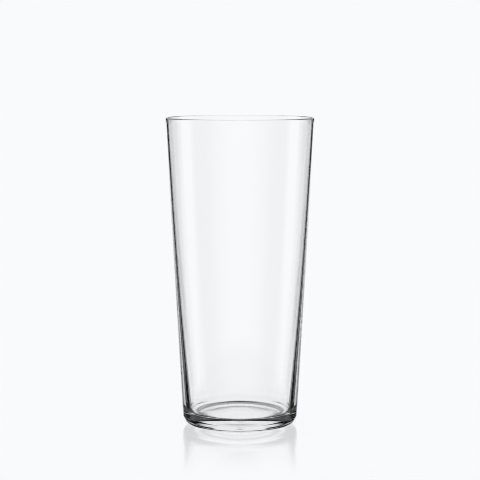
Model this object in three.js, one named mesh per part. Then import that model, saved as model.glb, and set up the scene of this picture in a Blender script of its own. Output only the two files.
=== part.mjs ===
// A tall iced coffee glass: one tapered tumbler of clear blown glass, with a thin fire-polished rim,
// a wall that thickens on its way down and a heavy base with a rounded heel.
// Millimetres, +Z up, origin on the axis at the level that the glass stands on.
import * as THREE from "three";

// Driving dimensions
const height = 160; // from the standing ring to the top of the rim
const rimDiameter = 77; // outside, at the top of the straight side
const footDiameter = 59.3; // outside, where the straight side would meet the table
const rimWall = 1.15; // glass at the rim
const floorWall = 3.8; // glass in the side wall at the level of the inside floor
const wallGrowth = 2.5; // power of the depth below the rim by which the wall thickens
const floorThickness = 7.5; // glass between the edge of the inside floor and the standing level
const floorDip = 0.1; // hollow of the inside floor at its centre
const heelRadius = 5.5; // round from the side to the standing ring
const cornerWidth = 1.4; // half width of the oval round from the inside wall to the inside floor
const cornerHeight = 7.3; // half height of that round
const standingRingWidth = 1; // flat ring that carries the glass
const pushUp = 3.2; // rise of the underside at its centre

// Facets
const facetsAround = 72;
const underStations = 6;
const heelStations = 8;
const sideStations = 8;
const rimStations = 8;
const wallStations = 16;
const cornerStations = 8;
const floorStations = 4;

// The outside is a straight cone.
const taper = (rimDiameter - footDiameter) / 2 / height;
const sideLean = Math.atan(taper);
const outerRadius = (z) => footDiameter / 2 + taper * z;

// The wall thickens with the depth below the rim, square to the outside.
const insideDepth = height - floorThickness;
const wallSpread = floorWall - rimWall;
const wallAt = (z) => rimWall + wallSpread * Math.max((height - z) / insideDepth, 0) ** wallGrowth;
const innerRadius = (z) => outerRadius(z) - wallAt(z) / Math.cos(sideLean);
const innerLean = Math.atan(taper + (wallGrowth * wallSpread) / insideDepth / Math.cos(sideLean));

// Points of an arc in the profile's plane, both ends included. An oval arc has its own half height.
function arc(centreRadius, centreHeight, radius, from, to, stations, halfHeight = radius) {
  return Array.from({ length: stations + 1 }, (_, i) => {
    const angle = from + ((to - from) * i) / stations;
    const across = centreRadius + radius * Math.cos(angle);
    return new THREE.Vector2(across, centreHeight + halfHeight * Math.sin(angle));
  });
}

// Points of a curve given as radius over height, both ends included.
function rise(radiusAt, from, to, stations) {
  return Array.from({ length: stations + 1 }, (_, i) => {
    const z = from + ((to - from) * i) / stations;
    return new THREE.Vector2(radiusAt(z), z);
  });
}

// The heel is tangent to the side and to the table.
const heelCentre = outerRadius(heelRadius) - heelRadius / Math.cos(sideLean);
const heelTop = heelRadius * (1 - Math.sin(sideLean));

// The underside is a shallow spherical cap inside the standing ring.
const capRadius = heelCentre - standingRingWidth;
const capSphere = (capRadius ** 2 + pushUp ** 2) / (2 * pushUp);
const capCentre = pushUp - capSphere;
const capEdge = Math.atan2(-capCentre, capRadius);

// The rim is a half round between the two walls.
const rimRadius = rimWall / 2;
const rimLevel = height - rimRadius;
const rimCentre = outerRadius(rimLevel) - rimRadius / Math.cos(sideLean);

// The inside corner is a tall oval round, tangent to the floor and to the foot of the inside wall.
const cornerRise = cornerHeight * Math.sin(innerLean);
const cornerRun = cornerWidth * Math.cos(innerLean);
const cornerReach = Math.hypot(cornerRun, cornerRise);
const cornerStart = -Math.atan2(cornerRise, cornerRun);
const cornerLevel = floorThickness + cornerHeight;
const cornerTop = cornerLevel - (cornerHeight * cornerRise) / cornerReach;
const cornerCentre = innerRadius(cornerTop) - (cornerWidth * cornerRun) / cornerReach;

// The inside floor sinks gently from the corner to the axis.
function floorCurve(stations) {
  return Array.from({ length: stations }, (_, i) => {
    const share = 1 - (i + 1) / stations;
    const z = floorThickness - floorDip * (1 - share ** 2) ** 2;
    return new THREE.Vector2(cornerCentre * share, z);
  });
}

function tumblerProfile() {
  const underside = arc(0, capCentre, capSphere, Math.PI / 2, capEdge, underStations);
  const heel = arc(heelCentre, heelRadius, heelRadius, -Math.PI / 2, -sideLean, heelStations);
  const side = rise(outerRadius, heelTop, rimLevel - rimRadius * Math.sin(sideLean), sideStations);
  const rim = arc(rimCentre, rimLevel, rimRadius, -sideLean, Math.PI - sideLean, rimStations);
  const wall = rise(innerRadius, rimLevel + rimRadius * Math.sin(sideLean), cornerTop, wallStations);
  const quarter = -Math.PI / 2;
  const corner = arc(cornerCentre, cornerLevel, cornerWidth, cornerStart, quarter, cornerStations, cornerHeight);
  const floor = floorCurve(floorStations);
  const outside = [...underside, ...heel.slice(0, -1), ...side.slice(0, -1)];
  const inside = [...rim.slice(0, -1), ...wall.slice(0, -1), ...corner, ...floor];
  return [...outside, ...inside];
}

const clearGlass = new THREE.MeshStandardMaterial({
  color: 0xf1f5f5,
  roughness: 0.03,
  metalness: 0,
  transparent: true,
  opacity: 0.35,
});

// LatheGeometry turns its profile about +Y, and a quarter turn about X stands it up along +Z.
const tumbler = new THREE.Mesh(new THREE.LatheGeometry(tumblerProfile(), facetsAround), clearGlass);
tumbler.name = "tumbler";
tumbler.rotation.x = Math.PI / 2;

const icedCoffeeGlass = new THREE.Group();
icedCoffeeGlass.add(tumbler);

export default icedCoffeeGlass;
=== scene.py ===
"""The iced coffee glass: one smooth tumbler of clear glass on a pale floor, in plain studio light."""

import math

import bpy
import numpy as np
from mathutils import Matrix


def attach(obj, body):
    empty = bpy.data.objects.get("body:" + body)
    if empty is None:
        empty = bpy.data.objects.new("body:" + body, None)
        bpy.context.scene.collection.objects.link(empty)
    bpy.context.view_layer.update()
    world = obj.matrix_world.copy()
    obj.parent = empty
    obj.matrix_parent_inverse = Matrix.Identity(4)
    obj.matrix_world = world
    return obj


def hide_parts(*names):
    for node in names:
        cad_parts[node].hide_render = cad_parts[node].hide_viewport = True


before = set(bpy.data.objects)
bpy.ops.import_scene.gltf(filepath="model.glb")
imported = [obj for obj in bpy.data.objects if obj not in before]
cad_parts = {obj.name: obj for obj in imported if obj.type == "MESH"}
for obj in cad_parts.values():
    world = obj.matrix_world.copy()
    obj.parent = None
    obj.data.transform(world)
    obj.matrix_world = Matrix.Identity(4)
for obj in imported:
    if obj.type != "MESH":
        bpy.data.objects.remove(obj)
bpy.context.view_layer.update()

MM = 0.001

# Sizes of the tumbler in millimetres, as in the CAD part
HEIGHT = 160.0
RIM_DIAMETER = 77.0
FOOT_DIAMETER = 59.3
RIM_WALL = 1.15
FLOOR_WALL = 3.8
WALL_GROWTH = 2.5
FLOOR_THICKNESS = 7.5
FLOOR_DIP = 0.1
HEEL_RADIUS = 5.5
CORNER_WIDTH = 1.4
CORNER_HEIGHT = 7.3
STANDING_RING_WIDTH = 1.0
PUSH_UP = 3.2

# The smooth surface's grid: points around, and points along each stretch of the profile
POINTS_AROUND = 360
UNDERSIDE_POINTS = 24
RING_POINTS = 3
HEEL_POINTS = 32
SIDE_POINTS = 48
RIM_POINTS = 20
WALL_POINTS = 72
CORNER_POINTS = 28
FLOOR_POINTS = 20

# The outside is a straight cone
TAPER = (RIM_DIAMETER - FOOT_DIAMETER) / 2 / HEIGHT
SIDE_LEAN = math.atan(TAPER)
INSIDE_DEPTH = HEIGHT - FLOOR_THICKNESS
WALL_SPREAD = FLOOR_WALL - RIM_WALL
INNER_LEAN = math.atan(TAPER + WALL_GROWTH * WALL_SPREAD / INSIDE_DEPTH / math.cos(SIDE_LEAN))

# The heel's arc stands on the outer edge of the standing ring, and the underside ends at its inner edge
HEEL_CENTRE = FOOT_DIAMETER / 2 + TAPER * HEEL_RADIUS - HEEL_RADIUS / math.cos(SIDE_LEAN)
UNDERSIDE_RADIUS = HEEL_CENTRE - STANDING_RING_WIDTH

# Clear glass, and the finish of the underside, which the mould leaves a little dull up to these soft edges
GLASS_TINT = (0.997, 1.0, 0.999, 1)
GLASS_IOR = 1.52
DEPTH_TINT = (0.6, 0.61, 0.6, 1)
DEPTH_DENSITY = 3
UNDERSIDE_ROUGHNESS = 0.2
GRAIN_SCALE = 900
GRAIN_DETAIL = 3
GRAIN_RANGE = (0.6, 1.4)
DULL_HEIGHTS = ((PUSH_UP + 0.4) * MM, (PUSH_UP + 1.0) * MM)
DULL_RADII = ((UNDERSIDE_RADIUS + 0.35) * MM, (UNDERSIDE_RADIUS + 1.35) * MM)

# Tone of the studio, and the floor's gloss, which fades between two distances from the axis in metres
PALE = (0.947, 0.956, 0.973, 1)
WHITE = (1, 1, 1, 1)
FLOOR_HALF = 30.0
FLOOR_GLOSS = 0.3
FLOOR_ROUGHNESS = 0.1
GLOSS_FADE = (0.04, 0.13)
GROUND_LEVEL = 0.96
BOTH_WALLS_SHARE = 0.8
TRAPPED_SHARE = 0.25

# Long lens in millimetres, its place in metres and its dip below level in degrees
LENS = 135
SENSOR = 36
CAMERA_PLACE = (0, -0.930, 0.1922)
CAMERA_DIP = 5.88

# Light is trapped for long in the thick base, so it may bounce many times
BOUNCES = 96


def outer_radius(z):
    """Half the foot's diameter plus the taper times the height."""
    return FOOT_DIAMETER / 2 + TAPER * z


def inner_radius(z):
    """The outer radius less the wall, which grows with a power of the depth below the rim."""
    depth = np.clip((HEIGHT - z) / INSIDE_DEPTH, 0.0, None)
    wall = RIM_WALL + WALL_SPREAD * depth**WALL_GROWTH
    return outer_radius(z) - wall / math.cos(SIDE_LEAN)


def arc(centre_radius, centre_height, radius, start, end, count, tall=None):
    """Arc in the profile's plane, round or oval.

    It is the centre plus the half width times the turn's cosine and the half height times the turn's sine.
    """
    turn = np.linspace(start, end, count)
    tall = radius if tall is None else tall
    return np.stack([centre_radius + radius * np.cos(turn), centre_height + tall * np.sin(turn)], 1)


def rise(radius_at, start, end, count):
    """Curve in the profile's plane: the radius as a function of the height, at even steps of height."""
    z = np.linspace(start, end, count)
    return np.stack([radius_at(z), z], 1)


def level(start, end, z, count):
    """Straight stretch of the profile at one height, at even steps of radius."""
    return np.stack([np.linspace(start, end, count), np.full(count, z)], 1)


def underside_and_heel():
    """From the underside's centre over the standing ring and round the heel.

    The underside is a shallow spherical cap, and the heel is an arc tangent to the ring and to the side.
    """
    cap_sphere = (UNDERSIDE_RADIUS**2 + PUSH_UP**2) / (2 * PUSH_UP)
    cap_centre = PUSH_UP - cap_sphere
    cap_edge = math.atan2(-cap_centre, UNDERSIDE_RADIUS)
    underside = arc(0, cap_centre, cap_sphere, math.pi / 2, cap_edge, UNDERSIDE_POINTS)
    ring = level(UNDERSIDE_RADIUS, HEEL_CENTRE, 0, RING_POINTS)
    heel = arc(HEEL_CENTRE, HEEL_RADIUS, HEEL_RADIUS, -math.pi / 2, -SIDE_LEAN, HEEL_POINTS)
    return np.concatenate([underside, ring[1:-1], heel])


def corner_and_floor():
    """From the foot of the inside wall round the corner and over the inside floor to the axis.

    The corner is a tall oval arc tangent to the inside wall and to the floor. The floor sinks from the corner
    by the dip times the square of one less the share of the radius squared.
    """
    width = CORNER_WIDTH * math.cos(INNER_LEAN)
    height = CORNER_HEIGHT * math.sin(INNER_LEAN)
    reach = math.hypot(width, height)
    corner_level = FLOOR_THICKNESS + CORNER_HEIGHT
    corner_top = corner_level - CORNER_HEIGHT * height / reach
    centre = float(inner_radius(corner_top)) - CORNER_WIDTH * width / reach
    start = -math.atan2(height, width)
    corner = arc(centre, corner_level, CORNER_WIDTH, start, -math.pi / 2, CORNER_POINTS, CORNER_HEIGHT)
    share = np.linspace(1, 0, FLOOR_POINTS)
    floor = np.stack([centre * share, FLOOR_THICKNESS - FLOOR_DIP * (1 - share**2) ** 2], 1)
    return np.concatenate([corner, floor[1:]])


def tumbler_profile():
    """Radius and height from the underside's centre, up the side, over the rim and down to the inside floor.

    The rim is a half round tangent to the side and the inside wall.
    """
    low = underside_and_heel()
    high = corner_and_floor()
    rim_radius = RIM_WALL / 2
    rim_level = HEIGHT - rim_radius
    rim_centre = float(outer_radius(rim_level)) - rim_radius / math.cos(SIDE_LEAN)
    rim_drop = rim_radius * math.sin(SIDE_LEAN)
    side = rise(outer_radius, low[-1, 1], rim_level - rim_drop, SIDE_POINTS)
    rim = arc(rim_centre, rim_level, rim_radius, -SIDE_LEAN, math.pi - SIDE_LEAN, RIM_POINTS)
    wall = rise(inner_radius, rim_level + rim_drop, high[0, 1], WALL_POINTS)
    return np.concatenate([low, side[1:-1], rim, wall[1:-1], high])


def turned_mesh(name, profile):
    """Closed mesh of a profile turned about Z.

    Point (i, j) is the profile's i-th radius times the cosine and sine of the j-th turn, at the i-th height.
    The profile's two ends lie on the axis, and each becomes one pole.
    """
    turn = np.arange(POINTS_AROUND) * (2 * math.pi / POINTS_AROUND)
    radius, height = profile[1:-1, :1], profile[1:-1, 1:]
    heights = np.broadcast_to(height, (len(height), len(turn)))
    grid = np.stack([radius * np.cos(turn), radius * np.sin(turn), heights], -1)
    poles = np.array([[0, 0, profile[0, 1]], [0, 0, profile[-1, 1]]])
    points = np.concatenate([grid.reshape(-1, 3), poles]) * MM
    index = np.arange(grid.shape[0] * POINTS_AROUND).reshape(grid.shape[0], POINTS_AROUND)
    beside = np.roll(index, -1, axis=1)
    quads = np.stack([index[:-1], beside[:-1], beside[1:], index[1:]], -1).reshape(-1, 4)
    low_pole, high_pole = index.size, index.size + 1
    low_fan = np.stack([np.full(POINTS_AROUND, low_pole), beside[0], index[0]], -1)
    high_fan = np.stack([np.full(POINTS_AROUND, high_pole), index[-1], beside[-1]], -1)
    mesh = bpy.data.meshes.new(name)
    mesh.from_pydata(points.tolist(), [], quads.tolist() + low_fan.tolist() + high_fan.tolist())
    mesh.polygons.foreach_set("use_smooth", np.ones(len(mesh.polygons), bool))
    mesh.update()
    return mesh


class Nodes:
    """Adds nodes to one tree. A value is a number, or another node's output."""

    def __init__(self, tree):
        self.tree = tree

    def add(self, kind, **settings):
        node = self.tree.nodes.new(kind)
        for name, value in settings.items():
            setattr(node, name, value)
        return node

    def feed(self, socket, value):
        if isinstance(value, bpy.types.NodeSocket):
            self.tree.links.new(value, socket)
        else:
            socket.default_value = value

    def math(self, operation, *values):
        node = self.add("ShaderNodeMath", operation=operation)
        for socket, value in zip(node.inputs, values):
            self.feed(socket, value)
        return node.outputs[0]

    def product(self, first, *others):
        for other in others:
            first = self.math("MULTIPLY", first, other)
        return first

    def total(self, first, *others):
        for other in others:
            first = self.math("ADD", first, other)
        return first

    def inverse(self, value):
        """One less the value."""
        return self.math("SUBTRACT", 1.0, value)

    def step(self, value, start, end):
        """0 before start and 1 after end, smooth between them."""
        node = self.add("ShaderNodeMapRange", interpolation_type="SMOOTHSTEP")
        self.feed(node.inputs["Value"], value)
        self.feed(node.inputs["From Min"], start)
        self.feed(node.inputs["From Max"], end)
        return node.outputs["Result"]

    def mix(self, share, first, second):
        """First where the share is 0, second where it is 1."""
        node = self.add("ShaderNodeMix", data_type="FLOAT")
        self.feed(node.inputs[0], share)
        self.feed(node.inputs[2], first)
        self.feed(node.inputs[3], second)
        return node.outputs[0]


def clear_glass():
    """Clear colourless glass, fire-polished, with a slightly dull underside inside the standing ring."""
    material = bpy.data.materials.new("clear_glass")
    material.use_nodes = True
    nodes = Nodes(material.node_tree)
    shader = material.node_tree.nodes["Principled BSDF"]
    shader.inputs["Base Color"].default_value = GLASS_TINT
    shader.inputs["IOR"].default_value = GLASS_IOR
    shader.inputs["Transmission Weight"].default_value = 1.0
    place = nodes.add("ShaderNodeTexCoord").outputs["Object"]
    axes = nodes.add("ShaderNodeSeparateXYZ")
    nodes.feed(axes.inputs[0], place)
    x, y, height = axes.outputs
    radius = nodes.math("SQRT", nodes.math("MULTIPLY_ADD", x, x, nodes.math("MULTIPLY", y, y)))
    grain = nodes.add("ShaderNodeTexNoise")
    nodes.feed(grain.inputs["Vector"], place)
    grain.inputs["Scale"].default_value = GRAIN_SCALE
    grain.inputs["Detail"].default_value = GRAIN_DETAIL
    below = nodes.inverse(nodes.step(height, *DULL_HEIGHTS))
    inside = nodes.inverse(nodes.step(radius, *DULL_RADII))
    grained = nodes.mix(grain.outputs["Fac"], *GRAIN_RANGE)
    nodes.feed(shader.inputs["Roughness"], nodes.product(below, inside, UNDERSIDE_ROUGHNESS, grained))
    depth = nodes.add("ShaderNodeVolumeAbsorption")
    depth.inputs["Color"].default_value = DEPTH_TINT
    depth.inputs["Density"].default_value = DEPTH_DENSITY
    nodes.feed(material.node_tree.nodes["Material Output"].inputs["Volume"], depth.outputs[0])
    return material


class Studio:
    """White cards and dark gaps round the glass, by the direction of the light and by its path in the glass.

    A place is in degrees: the turn away from straight behind the glass, alike to both sides, and the height
    above the horizon.
    """

    def __init__(self, nodes):
        self.nodes = nodes
        direction = nodes.add("ShaderNodeSeparateXYZ")
        nodes.feed(direction.inputs[0], nodes.add("ShaderNodeTexCoord").outputs["Generated"])
        x, y, self.up = direction.outputs
        self.turn = nodes.math("DEGREES", nodes.math("ARCTAN2", nodes.math("ABSOLUTE", x), y))
        self.height = nodes.math("DEGREES", nodes.math("ARCSINE", self.up))
        self.path = nodes.add("ShaderNodeLightPath").outputs

    def card(self, turns, heights, soft, brightness):
        """A card between two turns and two heights, with four edges soft by the given degrees.

        A brightness below 0 makes it a dark gap in another card.
        """
        values = (self.turn, self.turn, self.height, self.height)
        edges = []
        for value, place, fade in zip(values, (*turns, *heights), soft):
            edges.append(self.nodes.step(value, place - fade, place + fade))
        wide = self.nodes.math("SUBTRACT", edges[0], edges[1])
        tall = self.nodes.math("SUBTRACT", edges[2], edges[3])
        return self.nodes.product(wide, tall, brightness)

    def slant(self, lean, low, high, place, fade):
        """0 before a turn and 1 after it. The edge leans inwards by so many degrees per degree of height."""
        held = self.nodes.math("MINIMUM", self.nodes.math("MAXIMUM", self.height, low), high)
        lift = self.nodes.math("SUBTRACT", held, low)
        leaning = self.nodes.math("MULTIPLY_ADD", lift, lean, self.turn)
        return self.nodes.step(leaning, place - fade, place + fade)

    def cards(self):
        """Brightness of all the cards together. Between them the studio is dark."""
        backdrop = self.card((-40, 60), (-20.5, 5), (2, 1, 1, 3), 1.0)
        backdrop_end = self.nodes.inverse(self.slant(0.6, -15, -4, 24, 2))
        table = self.card((-40, 16.5), (-100, -20.5), (2, 3, 1, 1), 1.0)
        overhead = self.card((-40, 33), (5, 42), (2, 8, 3, 5), 1.0)
        overhead_gap = self.card((-40, 2), (7.5, 10.4), (2, 2, 1, 0.6), -0.9)
        dim_wing = self.card((28, 65), (-20.5, 0), (2, 4, 1, 3), 0.52)
        bright_wing = self.card((65, 96), (-20.5, 8), (4, 1.5, 1, 2), 1.0)
        low_wing_start = self.nodes.step(self.turn, 48, 53)
        high_wing_start = self.slant(2.6, -13.5, -4.5, 57.5, 2.5)
        wing_start = self.nodes.mix(self.nodes.step(self.height, -16, -14.5), low_wing_start, high_wing_start)
        dim_side = self.card((96, 140), (-20.5, 8), (1.5, 22, 1, 2), 0.57)
        rear = self.card((140, 220), (-20.5, 8), (22, 3, 1, 2), 0.96)
        return self.nodes.total(
            self.nodes.product(backdrop, backdrop_end),
            table,
            overhead,
            overhead_gap,
            self.nodes.product(dim_wing, wing_start),
            self.nodes.product(bright_wing, wing_start),
            dim_side,
            rear,
        )

    def ground(self):
        """Pale ground and rear wall behind the glass, for light that comes straight through it.

        Light through both walls sees most of the ground too, also when it was reflected on its way.
        """
        unreflected = self.nodes.math("LESS_THAN", self.path["Glossy Depth"], 0.5)
        through = self.nodes.math("GREATER_THAN", self.path["Transmission Depth"], 0.5)
        straight = self.nodes.product(unreflected, through)
        both_walls = self.nodes.math("GREATER_THAN", self.path["Transmission Depth"], 2.5)
        most = self.nodes.math("MAXIMUM", straight, self.nodes.product(both_walls, BOTH_WALLS_SHARE))
        steep = self.nodes.inverse(self.nodes.step(self.height, -48, -42))
        beside = self.nodes.math("MAXIMUM", self.nodes.step(self.turn, 31, 35), steep)
        low = self.nodes.inverse(self.nodes.step(self.height, -17.5, -16))
        wall_top = self.nodes.inverse(self.nodes.step(self.height, 6, 10))
        rear_wall = self.nodes.product(self.nodes.step(self.turn, 90, 96), wall_top, straight)
        shown = self.nodes.math("MAXIMUM", self.nodes.product(beside, low, most), rear_wall)
        return self.nodes.product(shown, GROUND_LEVEL)

    def trapped(self):
        """1 for light from the sides that was reflected three or more times inside one wall or the base."""
        one_wall = self.nodes.math("COMPARE", self.path["Transmission Depth"], 2.0, 0.5)
        often = self.nodes.math("GREATER_THAN", self.path["Glossy Depth"], 2.5)
        return self.nodes.product(one_wall, often, self.nodes.step(self.turn, 40, 46))

    def floor_gloss(self):
        """1 for light that the floor's dull gloss gets from above, past the glass."""
        past_glass = self.nodes.math("LESS_THAN", self.path["Transmission Depth"], 0.5)
        dull = self.nodes.inverse(self.path["Is Singular Ray"])
        return self.nodes.product(past_glass, dull, self.nodes.math("GREATER_THAN", self.up, 0.0))


def studio_world():
    """Plain pale light from all round for the floor, and the studio's cards for what the glass shows."""
    world = bpy.data.worlds.new("studio")
    world.use_nodes = True
    bpy.context.scene.world = world
    nodes = Nodes(world.node_tree)
    studio = Studio(nodes)
    light = nodes.math("MAXIMUM", studio.cards(), studio.ground())
    light = nodes.product(light, nodes.mix(studio.trapped(), 1.0, TRAPPED_SHARE))
    mirrored = nodes.math("MAXIMUM", studio.path["Is Glossy Ray"], studio.path["Is Transmission Ray"])
    shown = nodes.product(mirrored, nodes.math("LESS_THAN", studio.path["Diffuse Depth"], 0.5))
    in_glass = nodes.product(shown, nodes.inverse(studio.floor_gloss()))
    tone = nodes.add("ShaderNodeMix", data_type="RGBA")
    nodes.feed(tone.inputs[0], nodes.math("MAXIMUM", studio.path["Is Camera Ray"], shown))
    nodes.feed(tone.inputs[6], WHITE)
    nodes.feed(tone.inputs[7], PALE)
    background = world.node_tree.nodes["Background"]
    nodes.feed(background.inputs["Color"], tone.outputs[2])
    nodes.feed(background.inputs["Strength"], nodes.mix(in_glass, 1.0, light))


def floor_finish():
    """Pale and matt, with a soft gloss that fades away from the glass."""
    material = bpy.data.materials.new("pale_floor")
    material.use_nodes = True
    nodes = Nodes(material.node_tree)
    material.node_tree.nodes.remove(material.node_tree.nodes["Principled BSDF"])
    matt = nodes.add("ShaderNodeBsdfDiffuse")
    matt.inputs["Color"].default_value = PALE
    gloss = nodes.add("ShaderNodeBsdfGlossy")
    gloss.inputs["Color"].default_value = WHITE
    gloss.inputs["Roughness"].default_value = FLOOR_ROUGHNESS
    distance = nodes.add("ShaderNodeVectorMath", operation="LENGTH")
    nodes.feed(distance.inputs[0], nodes.add("ShaderNodeTexCoord").outputs["Object"])
    faded = nodes.step(distance.outputs["Value"], *GLOSS_FADE)
    both = nodes.add("ShaderNodeMixShader")
    nodes.feed(both.inputs[0], nodes.mix(faded, FLOOR_GLOSS, 0.0))
    nodes.feed(both.inputs[1], matt.outputs[0])
    nodes.feed(both.inputs[2], gloss.outputs[0])
    nodes.feed(material.node_tree.nodes["Material Output"].inputs["Surface"], both.outputs[0])
    return material


def pale_floor():
    """Wide flat floor that the glass itself doesn't show."""
    mesh = bpy.data.meshes.new("floor")
    half = FLOOR_HALF
    corners = [(-half, -half, 0), (half, -half, 0), (half, half, 0), (-half, half, 0)]
    mesh.from_pydata(corners, [], [(0, 1, 2, 3)])
    mesh.materials.append(floor_finish())
    floor = bpy.data.objects.new("floor", mesh)
    bpy.context.scene.collection.objects.link(floor)
    floor.visible_transmission = False
    floor.visible_glossy = False


def photo_camera():
    """Long lens, a little above the rim, looking slightly down."""
    lens = bpy.data.cameras.new("camera")
    lens.lens = LENS
    lens.sensor_width = SENSOR
    lens.clip_start = 0.01
    lens.clip_end = 100
    camera = bpy.data.objects.new("camera", lens)
    bpy.context.scene.collection.objects.link(camera)
    camera.location = CAMERA_PLACE
    camera.rotation_euler = (math.radians(90 - CAMERA_DIP), 0, 0)
    bpy.context.scene.camera = camera


scene = bpy.context.scene
scene.view_settings.view_transform = "Standard"
scene.cycles.max_bounces = BOUNCES
scene.cycles.transmission_bounces = BOUNCES
scene.cycles.glossy_bounces = BOUNCES
# The lines in the glass and the floor's reflection stay sharp
scene.cycles.blur_glossy = 0
scene.cycles.filter_width = 1.0

photo_camera()
studio_world()
pale_floor()

tumbler = bpy.data.objects.new("smooth_tumbler", turned_mesh("smooth_tumbler", tumbler_profile()))
scene.collection.objects.link(tumbler)
tumbler.data.materials.append(clear_glass())
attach(tumbler, "root")
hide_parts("tumbler")
